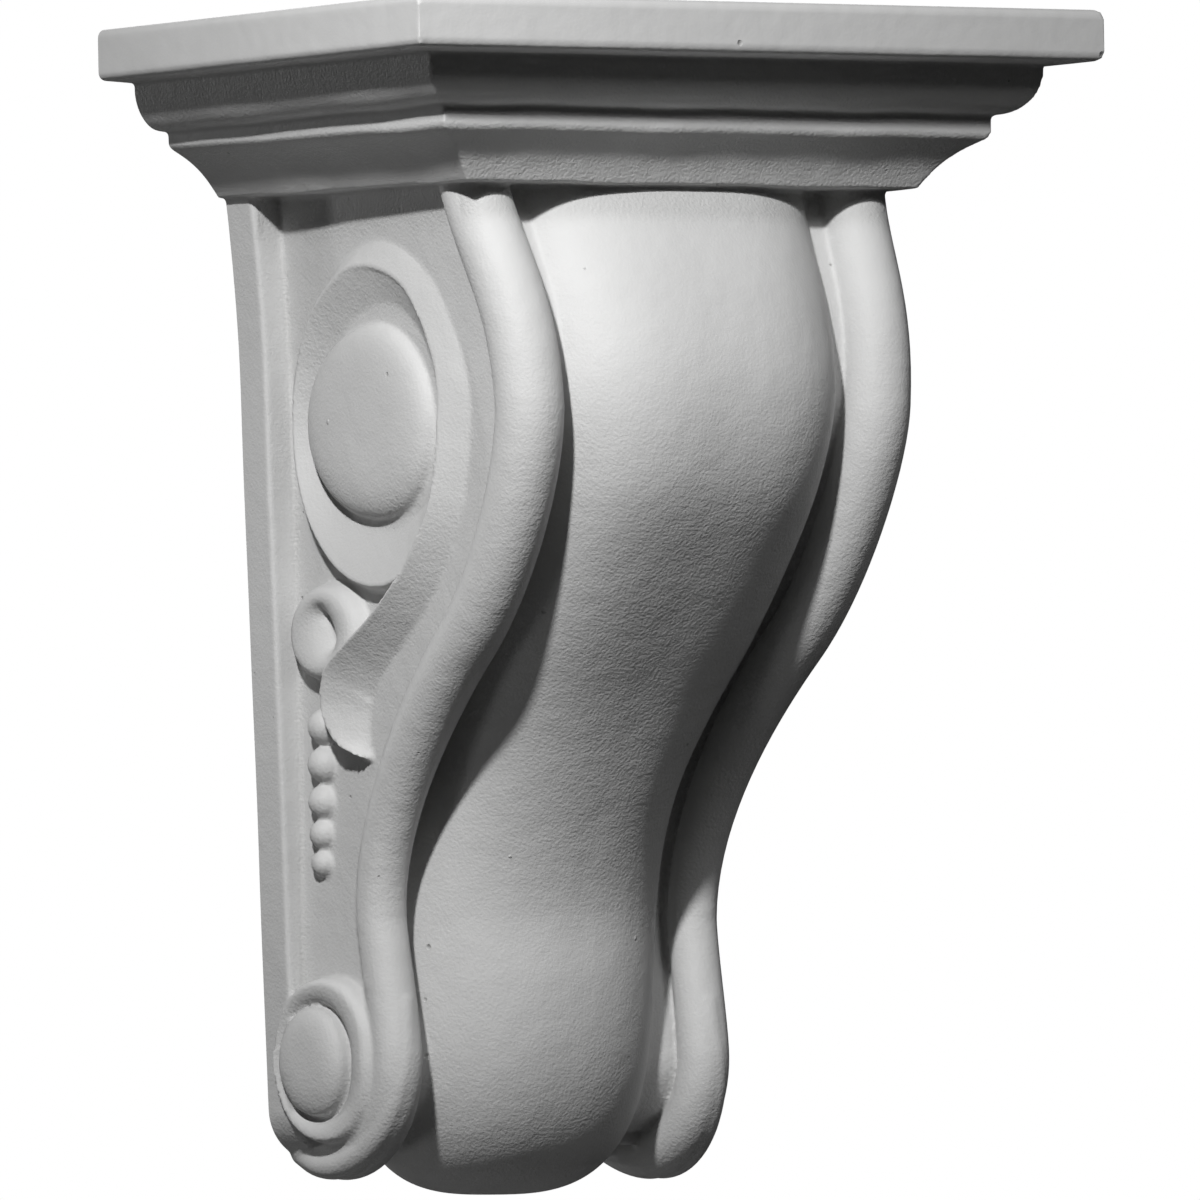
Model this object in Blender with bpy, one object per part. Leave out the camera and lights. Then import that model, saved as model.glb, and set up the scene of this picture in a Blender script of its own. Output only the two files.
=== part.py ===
"""Decorative corbel: one moulded console bracket with a flat back on the wall plane.

Lengths are metres. A drop is measured down from the top of the cap slab, a reach is
measured out from the wall, and a half width is measured from the middle plane.
"""

import math

import bpy
import numpy as np

# The whole corbel.
CAP_WIDTH = 0.2508
CAP_REACH = 0.1764
TOTAL_DROP = 0.356
CAP_TOP_Z = 0.178
BEHIND_WALL = 0.004

# The cap slab and the mouldings under it, each as (inset at the sides, inset in front, drop).
SLAB_THICKNESS = 0.0158
SLAB_EDGE_RADIUS = 0.0025
OVOLO_INSET = 0.0137
OVOLO_RUN = 0.0105
OVOLO_START_DROP = 0.0178
OVOLO_HEIGHT = 0.0134
FILLET_INSET = 0.0251
FILLET_BOTTOM_DROP = 0.0380
COVE_SIDE_RUN = 0.0178
COVE_FRONT_RUN = 0.0142
COVE_BOTTOM_DROP = 0.0532
COVE_HOLLOW = 0.0012

# The back plate that lies on the wall.
PLATE_THICKNESS = 0.0138
PLATE_TOP_DROP = 0.045
PLATE_HALF_WIDTH_AT_FOOT = 0.0706
PLATE_FOOT_DROP = 0.318
PLATE_TAPER = 0.025
PLATE_FLARE = 0.0028
PLATE_FLARE_DROP = 0.110
PLATE_FLARE_LENGTH = 0.060
PLATE_BOTTOM_DROP = 0.3445
PLATE_CORNER_RADIUS = 0.015
PLATE_DRAFT = 0.0004

# The path of each front roll: (reach, drop, direction, handle in, handle out). The direction is
# in degrees from straight down, outwards positive.
ROLL_PATH = (
    (0.1187, 0.0450, 7, 0, 0.0276),
    (0.1400, 0.1193, 0, 0.0366, 0.0165),
    (0.0984, 0.1900, -51, 0.0300, 0.0310),
    (0.0446, 0.2721, 0, 0.0311, 0.0072),
    (0.0504, 0.3146, 0, 0.0099, 0.0155),
    (0.0216, 0.3433, -90, 0.0150, 0.0067),
    (-0.0030, 0.3358, -123, 0.0083, 0),
)
ROLL_STEPS = 7
ROLL_SIDES = 16
ROLL_RADIUS = ((0.045, 0.0104), (0.150, 0.0103), (0.195, 0.0094), (0.250, 0.0078), (0.345, 0.0082))
ROLL_HALF_SPACING = ((0.045, 0.0697), (0.120, 0.0634), (0.200, 0.0595), (0.268, 0.0571), (0.345, 0.0559))

# The flat side panel between plate and roll.
PANEL_HALF_WIDTH = 0.0652
PANEL_FLARE = 0.0036
PANEL_FLARE_DROP = 0.160
PANEL_FLARE_LENGTH = 0.100
PANEL_UP_THE_ROLL = 0.55
WEB_BEHIND_ROLL = ((0.045, 0.05), (0.110, 0.20), (0.145, 0.65), (0.345, 0.70))
CORE_LAST_REACH = 0.0275
FOOT_FAN_DROP = 0.300
FOOT_FAN_SPREAD = 0.55

# The swell between the rolls: (drop, front reach, axis reach, half width, squareness).
SWELL_STATIONS = (
    (0.0480, 0.1286, 0.088, 0.0590, 3.0),
    (0.0540, 0.1336, 0.090, 0.0580, 3.0),
    (0.0660, 0.1406, 0.093, 0.0565, 3.0),
    (0.0880, 0.1511, 0.099, 0.0560, 3.0),
    (0.1180, 0.1571, 0.103, 0.0550, 3.0),
    (0.1440, 0.1511, 0.099, 0.0515, 3.0),
    (0.1720, 0.1326, 0.087, 0.0480, 3.0),
    (0.1900, 0.1186, 0.075, 0.0455, 3.0),
    (0.2100, 0.1026, 0.059, 0.0425, 2.8),
    (0.2320, 0.0876, 0.042, 0.0415, 2.5),
    (0.2500, 0.0771, 0.033, 0.0435, 2.3),
    (0.2700, 0.0691, 0.027, 0.0457, 2.1),
    (0.2920, 0.0671, 0.023, 0.0465, 2.0),
)
SWELL_ROWS = 20
SWELL_FOOT_ROWS = 8
SWELL_SIDES = 36
FOOT_AXIS_REACH = 0.0176
FOOT_SIDE_POWER = 3.2
FOOT_FRONT_POWER = 2.1

# The dished scroll on each side: centre, half axes, and heights above the panel.
DISH_CENTRE = (0.0612, 0.1222)
DISH_HALF_AXES = (0.0415, 0.0500)
DISH_RIM_HEIGHT = 0.0058
DISH_FLOOR_HEIGHT = 0.0012
BOSS_CENTRE = (0.0612, 0.1226)
BOSS_HALF_AXES = (0.0310, 0.0315)
BOSS_HEIGHT = 0.0078
RELIEF_FOOT = 0.0030

# The leaf that rolls off the dish's rim: (inner reach, inner drop, outer reach, outer drop, height).
LEAF_STATIONS = (
    (0.0340, 0.0860, 0.0350, 0.0838, 0.0010),
    (0.0430, 0.0775, 0.0450, 0.0728, 0.0045),
    (0.0600, 0.0727, 0.0730, 0.0676, 0.0056),
    (0.0860, 0.0822, 0.0985, 0.0800, 0.0058),
    (0.1015, 0.1060, 0.1135, 0.1050, 0.0058),
    (0.1026, 0.1270, 0.1160, 0.1250, 0.0058),
    (0.0975, 0.1480, 0.1105, 0.1490, 0.0058),
    (0.0830, 0.1670, 0.0985, 0.1675, 0.0060),
    (0.0650, 0.1810, 0.0830, 0.1830, 0.0062),
    (0.0490, 0.1900, 0.0680, 0.1940, 0.0062),
    (0.0390, 0.1965, 0.0575, 0.2025, 0.0060),
    (0.0352, 0.2050, 0.0525, 0.2090, 0.0058),
    (0.0368, 0.2135, 0.0515, 0.2150, 0.0054),
    (0.0420, 0.2200, 0.0512, 0.2200, 0.0046),
    (0.0505, 0.2238, 0.0514, 0.2235, 0.0030),
)
LEAF_ROWS = 30

# The small rolled volute beside the leaf: centre, half axes, and heights above the panel.
VOLUTE_CENTRE = (0.0350, 0.1852)
VOLUTE_HALF_AXES = (0.0190, 0.0150)
VOLUTE_EYE = (0.0375, 0.1845)
VOLUTE_EYE_HALF_AXES = (0.0035, 0.0055)
VOLUTE_HEIGHT = 0.0065
VOLUTE_EYE_HEIGHT = 0.0010

# The string of beads: reach of the first and last, and (drop, radius) of each.
BEAD_REACH = (0.0275, 0.0238)
BEADS = ((0.2132, 0.0059), (0.2248, 0.0059), (0.2363, 0.0052), (0.2460, 0.0046), (0.2548, 0.0040))
BEAD_SIDES = 12
BEAD_ROWS = 5
BEAD_FULLNESS = 0.8
STRING_RADIUS = 0.0024

# The round boss at the foot, in its ring.
RING_CENTRE = (0.0285, 0.3178)
RING_HALF_AXES = (0.0205, 0.0280)
RING_HALF_WIDTH = 0.0722
RING_SLOPE = 0.135
RING_SLOPE_FROM = 0.007
FOOT_BOSS_CENTRE = (0.0232, 0.3155)
FOOT_BOSS_HALF_AXES = (0.0158, 0.0170)
FOOT_BOSS_HEIGHT = 0.0020
RING_GROOVE = 0.0028
ROUND_SIDES = 32

FOAM_COLOUR = (0.62, 0.62, 0.61, 1.0)
FOAM_ROUGHNESS = 0.75


def curve_through(stations, at, column=1):
    """Values on a smooth curve through (position, value, ...) stations."""
    x = np.array([station[0] for station in stations])
    y = np.array([station[column] for station in stations])
    slope = np.gradient(y, x)
    at = np.clip(np.asarray(at, float), x[0], x[-1])
    i = np.clip(np.searchsorted(x, at) - 1, 0, len(x) - 2)
    span = x[i + 1] - x[i]
    t = (at - x[i]) / span
    start = (1 + 2 * t) * (1 - t) ** 2 * y[i] + t * (1 - t) ** 2 * span * slope[i]
    end = t * t * (3 - 2 * t) * y[i + 1] + t * t * (t - 1) * span * slope[i + 1]
    return start + end


def point(half_width, reach, drop):
    return (half_width, -reach, CAP_TOP_Z - drop)


def lofted(name, rings):
    """A closed body through rings of equal length, with a fan of faces over each end."""
    count = len(rings[0])
    points = [tuple(p) for ring in rings for p in ring]
    faces = []
    for row in range(len(rings) - 1):
        for i in range(count):
            j = (i + 1) % count
            a, b = row * count + i, row * count + j
            faces.append((a, b, b + count, a + count))
    for row, turn in ((0, -1), (len(rings) - 1, 1)):
        middle = len(points)
        points.append(tuple(np.mean(rings[row], axis=0)))
        for i in range(count):
            ends = (row * count + i, row * count + (i + 1) % count)
            faces.append((*ends[::turn], middle))
    mesh = bpy.data.meshes.new(name)
    mesh.from_pydata(points, [], faces)
    face_outwards(mesh)
    mesh.shade_smooth()
    mesh.set_sharp_from_angle(angle=math.radians(35))
    body = bpy.data.objects.new(name, mesh)
    bpy.context.scene.collection.objects.link(body)
    return body


def face_outwards(mesh):
    """Turns every face round when the body's volume comes out negative."""
    mesh.calc_loop_triangles()
    corners = np.array([[mesh.vertices[v].co for v in t.vertices] for t in mesh.loop_triangles])
    if np.linalg.det(corners).sum() < 0:
        mesh.flip_normals()


def cap_profile():
    """(side inset, front inset, drop) down the slab, the ovolo, the fillet and the cove."""
    profile = []
    for step in range(4):
        turn = math.radians(90) * step / 3
        inset = SLAB_EDGE_RADIUS * (1 - math.sin(turn))
        profile.append((inset, inset, SLAB_EDGE_RADIUS * (1 - math.cos(turn))))
    for step in range(4):
        turn = math.radians(90) * step / 3
        inset = SLAB_EDGE_RADIUS * (1 - math.cos(turn))
        drop = SLAB_THICKNESS - SLAB_EDGE_RADIUS * (1 - math.sin(turn))
        profile.append((inset, inset, drop))
    profile.append((OVOLO_INSET, OVOLO_INSET, SLAB_THICKNESS + 0.0005))
    for step in range(8):
        turn = math.radians(90) * step / 7
        inset = OVOLO_INSET + OVOLO_RUN * (1 - math.cos(turn))
        profile.append((inset, inset, OVOLO_START_DROP + OVOLO_HEIGHT * math.sin(turn)))
    top_of_fillet = OVOLO_START_DROP + OVOLO_HEIGHT + 0.0004
    profile.append((FILLET_INSET, FILLET_INSET, top_of_fillet))
    profile.append((FILLET_INSET, FILLET_INSET, FILLET_BOTTOM_DROP - 0.0012))
    profile.append((FILLET_INSET + 0.0004, FILLET_INSET + 0.0004, FILLET_BOTTOM_DROP))
    steps = 6
    for step in range(1, steps + 1):
        t = step / steps
        hollow = COVE_HOLLOW * math.sin(math.pi * t)
        drop = FILLET_BOTTOM_DROP + (COVE_BOTTOM_DROP - FILLET_BOTTOM_DROP) * t - hollow
        side = FILLET_INSET + COVE_SIDE_RUN * t + hollow
        front = FILLET_INSET + COVE_FRONT_RUN * t + hollow
        profile.append((side, front, drop))
    return profile


def cap():
    rings = []
    for side, front, drop in cap_profile():
        half = CAP_WIDTH / 2 - side
        reach = CAP_REACH - front
        corners = ((-half, -BEHIND_WALL), (-half, reach), (half, reach), (half, -BEHIND_WALL))
        rings.append([point(x, y, drop) for x, y in corners])
    return lofted("corbel", rings)


def plate_half_width(drop):
    flare = max(0.0, (PLATE_FLARE_DROP - drop) / PLATE_FLARE_LENGTH)
    half = PLATE_HALF_WIDTH_AT_FOOT + PLATE_TAPER * (PLATE_FOOT_DROP - drop) + PLATE_FLARE * flare**2
    corner_start = PLATE_BOTTOM_DROP - PLATE_CORNER_RADIUS
    if drop > corner_start:
        turn = min(1.0, (drop - corner_start) / PLATE_CORNER_RADIUS)
        half -= PLATE_CORNER_RADIUS * (1 - math.sqrt(1 - turn**2))
    return half


def back_plate():
    drops = list(np.linspace(PLATE_TOP_DROP, PLATE_FLARE_DROP, 6))
    drops.append(0.200)
    corner_start = PLATE_BOTTOM_DROP - PLATE_CORNER_RADIUS
    for step in range(7):
        drops.append(corner_start + PLATE_CORNER_RADIUS * math.sin(math.radians(90) * step / 6))
    rings = []
    for drop in drops:
        back = plate_half_width(drop)
        front = back - PLATE_DRAFT
        corners = (
            (-back, -BEHIND_WALL),
            (-front, PLATE_THICKNESS),
            (front, PLATE_THICKNESS),
            (back, -BEHIND_WALL),
        )
        rings.append([point(x, y, drop) for x, y in corners])
    return lofted("back_plate", rings)


def bezier(start, end, steps):
    """Points from one path node to the next, without the last."""
    places = []
    for node, handle, sign in ((start, start[4], 1), (end, end[3], -1)):
        turn = math.radians(node[2])
        shift = np.array([math.sin(turn), math.cos(turn)]) * handle * sign
        places.append((np.array(node[:2]), np.array(node[:2]) + shift))
    (a, b), (d, c) = places
    t = np.linspace(0, 1, steps, endpoint=False)[:, None]
    return (1 - t) ** 3 * a + 3 * (1 - t) ** 2 * t * b + 3 * (1 - t) * t * t * c + t**3 * d


def roll_path():
    """(reach, drop) along the middle of a roll, and the way out at right angles to it."""
    parts = [bezier(a, b, ROLL_STEPS) for a, b in zip(ROLL_PATH, ROLL_PATH[1:])]
    path = np.vstack([*parts, [ROLL_PATH[-1][:2]]])
    along = np.gradient(path, axis=0)
    along /= np.linalg.norm(along, axis=1)[:, None]
    outward = np.stack([along[:, 1], -along[:, 0]], axis=1)
    return path, outward


def roll(name, side):
    path, outward = roll_path()
    rings = []
    for (reach, drop), out in zip(path, outward):
        radius = float(curve_through(ROLL_RADIUS, drop))
        half = float(curve_through(ROLL_HALF_SPACING, drop))
        ring = []
        for i in range(ROLL_SIDES):
            turn = 2 * math.pi * i / ROLL_SIDES
            across, forward = radius * math.cos(turn), radius * math.sin(turn)
            ring.append(point(side * (half + across), reach + forward * out[0], drop + forward * out[1]))
        rings.append(ring)
    return lofted(name, rings)


def valley_half_width(drop):
    flare = max(0.0, (PANEL_FLARE_DROP - drop) / PANEL_FLARE_LENGTH)
    return PANEL_HALF_WIDTH + PANEL_FLARE * flare**2


def crease_half_width(drop):
    radius = float(curve_through(ROLL_RADIUS, drop))
    return float(curve_through(ROLL_HALF_SPACING, drop)) + PANEL_UP_THE_ROLL * radius


def panel_half_width(reach, drop):
    """The side panel is ruled straight from the plate to the crease behind the roll."""
    path = roll_path()[0]
    down = path[path[:, 1].argsort()]
    roll_reach = np.interp(drop, down[:, 1], down[:, 0]) if drop < ROLL_PATH[4][1] else ROLL_PATH[4][0]
    share = (reach - PLATE_THICKNESS) / (roll_reach - PLATE_THICKNESS)
    share = min(1.0, max(0.0, share))
    return valley_half_width(drop) * (1 - share) + crease_half_width(drop) * share


def core():
    """The body between the side panels, with a web set back between the rolls."""
    path, outward = roll_path()
    rings = []
    for (reach, drop), out in zip(path, outward):
        if drop > ROLL_PATH[4][1] and reach < CORE_LAST_REACH:
            break
        back_drop = drop
        if drop > FOOT_FAN_DROP:
            back_drop = FOOT_FAN_DROP + FOOT_FAN_SPREAD * (drop - FOOT_FAN_DROP)
        share = (PLATE_THICKNESS + BEHIND_WALL) / (reach + BEHIND_WALL)
        valley_drop = back_drop + (drop - back_drop) * share
        web_shift = float(curve_through(WEB_BEHIND_ROLL, drop)) * float(curve_through(ROLL_RADIUS, drop))
        web = (reach - web_shift * out[0], drop - web_shift * out[1])
        valley = valley_half_width(valley_drop)
        crease = crease_half_width(drop)
        middle = float(curve_through(ROLL_HALF_SPACING, drop))
        right = [
            (valley, -BEHIND_WALL, back_drop),
            (valley, PLATE_THICKNESS, valley_drop),
            (crease, reach, drop),
            (middle, *web),
        ]
        left = [(-x, y, d) for x, y, d in reversed(right)]
        rings.append([point(*corner) for corner in right + left])
    return lofted("core", rings)


def swell_ring(front, axis, half, power, drop, side_scale=1.0, front_scale=1.0):
    ring = []
    for i in range(SWELL_SIDES):
        turn = 2 * math.pi * i / SWELL_SIDES
        c, s = math.cos(turn), math.sin(turn)
        across = half * side_scale * math.copysign(abs(c) ** (2 / power), c)
        out = (front - axis) * front_scale * math.copysign(abs(s) ** (2 / power), s)
        ring.append(point(across, axis + out, drop))
    return ring


def swell():
    """The pillow between the rolls, which rounds under to the wall at its foot."""
    first, last = SWELL_STATIONS[0][0], SWELL_STATIONS[-1][0]
    rings = []
    for drop in np.linspace(first, last, SWELL_ROWS):
        front, axis, half, power = (float(curve_through(SWELL_STATIONS, drop, c)) for c in range(1, 5))
        rings.append(swell_ring(front, axis, half, power, drop))
    front, axis, half, power = SWELL_STATIONS[-1][1:]
    for step in range(1, SWELL_FOOT_ROWS + 1):
        t = math.sin(math.radians(90) * step / (SWELL_FOOT_ROWS + 0.4))
        drop = last + (TOTAL_DROP - last) * t
        middle = axis + (FOOT_AXIS_REACH - axis) * t
        side_scale = (1 - t**FOOT_SIDE_POWER) ** (1 / FOOT_SIDE_POWER)
        front_scale = (1 - t**FOOT_FRONT_POWER) ** (1 / FOOT_FRONT_POWER)
        rings.append(swell_ring(front, middle, half, power, drop, side_scale, front_scale))
    tip = [point(0, FOOT_AXIS_REACH, TOTAL_DROP)]
    rings.append([tuple(0.98 * np.array(tip[0]) + 0.02 * np.array(p)) for p in rings[-1]])
    return lofted("swell", rings)


def oval(centre, half_axes, scale=1.0, power=2.0):
    """(reach, drop) round an oval."""
    places = []
    for i in range(ROUND_SIDES):
        turn = 2 * math.pi * i / ROUND_SIDES
        c, s = math.cos(turn), math.sin(turn)
        reach = centre[0] + half_axes[0] * scale * math.copysign(abs(c) ** (2 / power), c)
        drop = centre[1] + half_axes[1] * scale * math.copysign(abs(s) ** (2 / power), s)
        places.append((reach, drop))
    return places


def relief(name, side, levels, surface):
    """A mound on the side: each level is an oval of places and its height above the surface."""
    rings = []
    for places, height in levels:
        rings.append([point(side * (surface(*place) + height), *place) for place in places])
    return lofted(name, rings)


def dish(name, side):
    def rim(scale):
        return oval(DISH_CENTRE, DISH_HALF_AXES, scale)

    def boss(scale):
        return oval(BOSS_CENTRE, BOSS_HALF_AXES, scale)

    rise = BOSS_HEIGHT - DISH_FLOOR_HEIGHT
    levels = [
        (rim(1.02), -RELIEF_FOOT),
        (rim(1.01), DISH_RIM_HEIGHT * 0.4),
        (rim(0.995), DISH_RIM_HEIGHT * 0.93),
        (rim(0.975), DISH_RIM_HEIGHT),
        (rim(0.90), DISH_RIM_HEIGHT * 0.80),
        (boss(1.05), DISH_FLOOR_HEIGHT),
        (boss(1.0), DISH_FLOOR_HEIGHT + rise * 0.25),
        (boss(0.96), DISH_FLOOR_HEIGHT + rise * 0.60),
        (boss(0.85), DISH_FLOOR_HEIGHT + rise * 0.84),
        (boss(0.62), DISH_FLOOR_HEIGHT + rise * 0.95),
        (boss(0.30), BOSS_HEIGHT),
    ]
    return relief(name, side, levels, panel_half_width)


def volute(name, side):
    def outer(scale):
        return oval(VOLUTE_CENTRE, VOLUTE_HALF_AXES, scale)

    def eye(scale):
        return oval(VOLUTE_EYE, VOLUTE_EYE_HALF_AXES, scale)

    levels = [
        (outer(1.02), -RELIEF_FOOT),
        (outer(1.0), VOLUTE_HEIGHT * 0.45),
        (outer(0.93), VOLUTE_HEIGHT * 0.85),
        (outer(0.80), VOLUTE_HEIGHT),
        (outer(0.60), VOLUTE_HEIGHT * 0.88),
        (eye(1.5), VOLUTE_HEIGHT * 0.45),
        (eye(0.8), VOLUTE_EYE_HEIGHT),
    ]
    return relief(name, side, levels, panel_half_width)


def ring_surface(reach, drop):
    return RING_HALF_WIDTH - RING_SLOPE * (reach - RING_SLOPE_FROM)


def foot_ring(name, side):
    def outer(scale):
        return oval(RING_CENTRE, RING_HALF_AXES, scale, power=2.2)

    def boss(scale):
        return oval(FOOT_BOSS_CENTRE, FOOT_BOSS_HALF_AXES, scale)

    levels = [
        (outer(1.0), -0.012),
        (outer(1.0), -0.0040),
        (outer(0.96), -0.0012),
        (outer(0.90), 0.0),
        (outer(0.82), -0.0004),
        (boss(1.08), -RING_GROOVE),
        (boss(1.0), -RING_GROOVE * 0.8),
        (boss(0.94), FOOT_BOSS_HEIGHT * 0.2),
        (boss(0.76), FOOT_BOSS_HEIGHT * 0.75),
        (boss(0.40), FOOT_BOSS_HEIGHT),
    ]
    return relief(name, side, levels, ring_surface)


def leaf(name, side):
    """The strip that slopes from its proud inner edge down to the panel, ending in a lobe."""
    rows = np.arange(len(LEAF_STATIONS), dtype=float)
    stations = [(row, *station) for row, station in zip(rows, LEAF_STATIONS)]
    rings = []
    for at in np.linspace(rows[0], rows[-1], LEAF_ROWS):
        columns = [float(curve_through(stations, at, c)) for c in range(1, 6)]
        inner, outer, height = columns[0:2], columns[2:4], columns[4]
        low = panel_half_width(*inner)
        edge = panel_half_width(*outer)
        inside = np.array(inner) - 0.06 * (np.array(outer) - np.array(inner))
        rings.append(
            [
                point(side * (low - RELIEF_FOOT), *inside),
                point(side * (low + height * 0.85), *inside),
                point(side * (low + height), *(0.9 * np.array(inner) + 0.1 * np.array(outer))),
                point(side * (edge + 0.0004), *outer),
                point(side * (edge - RELIEF_FOOT), *outer),
            ]
        )
    return lofted(name, rings)


def bead_string(name, side):
    """The beads as one turned body down a line, narrow between them."""
    first, last = BEADS[0][0], BEADS[-1][0]
    rings = []
    for drop, radius in BEADS:
        for row in range(BEAD_ROWS + 1):
            turn = math.pi * row / BEAD_ROWS
            place = drop - radius * 0.98 * math.cos(turn)
            size = max(STRING_RADIUS, radius * math.sin(turn) ** BEAD_FULLNESS)
            share = (place - first) / (last - first)
            reach = BEAD_REACH[0] * (1 - share) + BEAD_REACH[1] * share
            middle = panel_half_width(reach, place)
            if rings and place < last_place + 0.0002:
                continue
            last_place = place
            ring = []
            for i in range(BEAD_SIDES):
                around = 2 * math.pi * i / BEAD_SIDES
                half = middle + size * math.cos(around)
                ring.append(point(side * half, reach + size * math.sin(around), place))
            rings.append(ring)
    return lofted(name, rings)


def box(name, low, high):
    (x0, y0, z0), (x1, y1, z1) = low, high
    rings = [[(x0, y0, z), (x1, y0, z), (x1, y1, z), (x0, y1, z)] for z in (z0, z1)]
    return lofted(name, rings)


def foam():
    material = bpy.data.materials.new("primed_foam")
    material.use_nodes = True
    shader = material.node_tree.nodes["Principled BSDF"]
    shader.inputs["Base Color"].default_value = FOAM_COLOUR
    shader.inputs["Roughness"].default_value = FOAM_ROUGHNESS
    shader.inputs["Metallic"].default_value = 0.0
    return material


def join(body, forms, wall):
    """Unites the forms with the body and cuts the back flat on the wall plane."""
    mouldings = bpy.data.collections.new("mouldings")
    bpy.context.scene.collection.children.link(mouldings)
    for form in (*forms, wall):
        form.hide_render = True
        form.display_type = "WIRE"
    for form in forms:
        bpy.context.scene.collection.objects.unlink(form)
        mouldings.objects.link(form)
    union = body.modifiers.new("forms", "BOOLEAN")
    union.operation = "UNION"
    union.operand_type = "COLLECTION"
    union.collection = mouldings
    union.solver = "EXACT"
    cut = body.modifiers.new("flat_back", "BOOLEAN")
    cut.operation = "DIFFERENCE"
    cut.object = wall
    cut.solver = "EXACT"


def main():
    for old in list(bpy.data.objects):
        bpy.data.objects.remove(old, do_unlink=True)
    corbel = cap()
    corbel.data.materials.append(foam())
    forms = [back_plate(), core(), swell()]
    for hand, side in (("right", 1), ("left", -1)):
        forms.append(roll(f"roll_{hand}", side))
        forms.append(dish(f"dish_{hand}", side))
        forms.append(leaf(f"leaf_{hand}", side))
        forms.append(volute(f"volute_{hand}", side))
        forms.append(bead_string(f"beads_{hand}", side))
        forms.append(foot_ring(f"foot_ring_{hand}", side))
    wall = box("wall", (-0.2, 0.0, -0.3), (0.2, 0.05, 0.3))
    join(corbel, forms, wall)


main()
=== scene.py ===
"""The looks of a decorative corbel: a stepped cap on an S-curved bracket, cast in primed foam.

Sizes are millimetres. A place is given by its distance from the middle plane, its reach out from
the wall, and its drop below the top of the cap.
"""

import math

import bmesh
import bpy
import numpy as np
from mathutils import Matrix, Vector


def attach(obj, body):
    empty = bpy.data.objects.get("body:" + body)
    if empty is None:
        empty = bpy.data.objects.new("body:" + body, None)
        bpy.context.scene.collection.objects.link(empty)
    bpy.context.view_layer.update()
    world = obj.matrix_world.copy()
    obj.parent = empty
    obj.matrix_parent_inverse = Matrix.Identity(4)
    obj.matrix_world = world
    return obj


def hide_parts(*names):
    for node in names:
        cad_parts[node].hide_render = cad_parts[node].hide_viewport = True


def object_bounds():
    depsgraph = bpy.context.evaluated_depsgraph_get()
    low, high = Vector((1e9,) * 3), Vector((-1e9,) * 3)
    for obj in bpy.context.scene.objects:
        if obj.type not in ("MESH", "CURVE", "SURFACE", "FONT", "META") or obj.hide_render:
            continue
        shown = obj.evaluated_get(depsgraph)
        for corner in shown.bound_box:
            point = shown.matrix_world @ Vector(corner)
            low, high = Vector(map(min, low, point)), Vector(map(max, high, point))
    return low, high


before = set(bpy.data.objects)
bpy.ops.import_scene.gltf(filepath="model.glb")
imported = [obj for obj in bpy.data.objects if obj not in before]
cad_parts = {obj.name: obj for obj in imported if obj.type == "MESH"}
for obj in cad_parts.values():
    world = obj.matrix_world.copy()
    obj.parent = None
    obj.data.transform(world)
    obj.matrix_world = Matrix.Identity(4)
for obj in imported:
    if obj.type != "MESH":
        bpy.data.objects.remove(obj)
cad_box = [list(corner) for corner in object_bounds()]


# Cap
# The cap is a flat slab over a quarter-round ovolo, a narrow fillet and a shallow cove, run round
# three sides and mitred at the corners. It is cast in one with the bracket below, so this form
# and the ones after it are closed shapes that the casting at the end makes one.
top_height = 178
wall_overrun = 4.0
cap_half_width = 125.4
cap_reach = 176.4
slab_thickness = 15.8
slab_edge = 2.6
slab_overhang_side = 13.2
slab_overhang_front = 13.7
ovolo_top = 17.8
ovolo_height = 13.4
ovolo_depth = 10.5
fillet_inset = 25.1
fillet_top = 31.6
fillet_bottom = 38.0
fillet_round = 1.3
cove_depth_side = 17.8
cove_depth_front = 14.2
cove_hollow = 1.25
cove_bottom = 53.2
left_run_closes = 2.4
forms = []


def at(half_width, reach, drop):
    """The place in metres, for numbers or for arrays."""
    return (half_width / 1000, -reach / 1000, (top_height - drop) / 1000)


def closed_form(rings):
    """Keeps a closed shape through rings of equal length, facing outwards, for the casting."""
    rings = np.array(rings)
    rows, count = rings.shape[:2]
    points = np.vstack([rings.reshape(-1, 3), rings[0].mean(axis=0), rings[-1].mean(axis=0)])
    i = np.arange(count)
    j = (i + 1) % count
    starts = np.arange(rows - 1)[:, None] * count
    quads = np.stack([starts + i, starts + j, starts + j + count, starts + i + count], axis=2)
    last = (rows - 1) * count
    fans = np.vstack(
        [
            np.stack([j, i, np.full(count, rows * count)], axis=1),
            np.stack([last + i, last + j, np.full(count, rows * count + 1)], axis=1),
        ]
    )
    quads = quads.reshape(-1, 4)
    triangles = np.vstack([quads[:, [0, 1, 2]], quads[:, [0, 2, 3]], fans])
    if np.linalg.det(points[triangles]).sum() < 0:
        triangles = triangles[:, ::-1]
    forms.append((points, triangles))


def quarter(steps):
    return [math.radians(90) * step / steps for step in range(steps + 1)]


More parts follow.
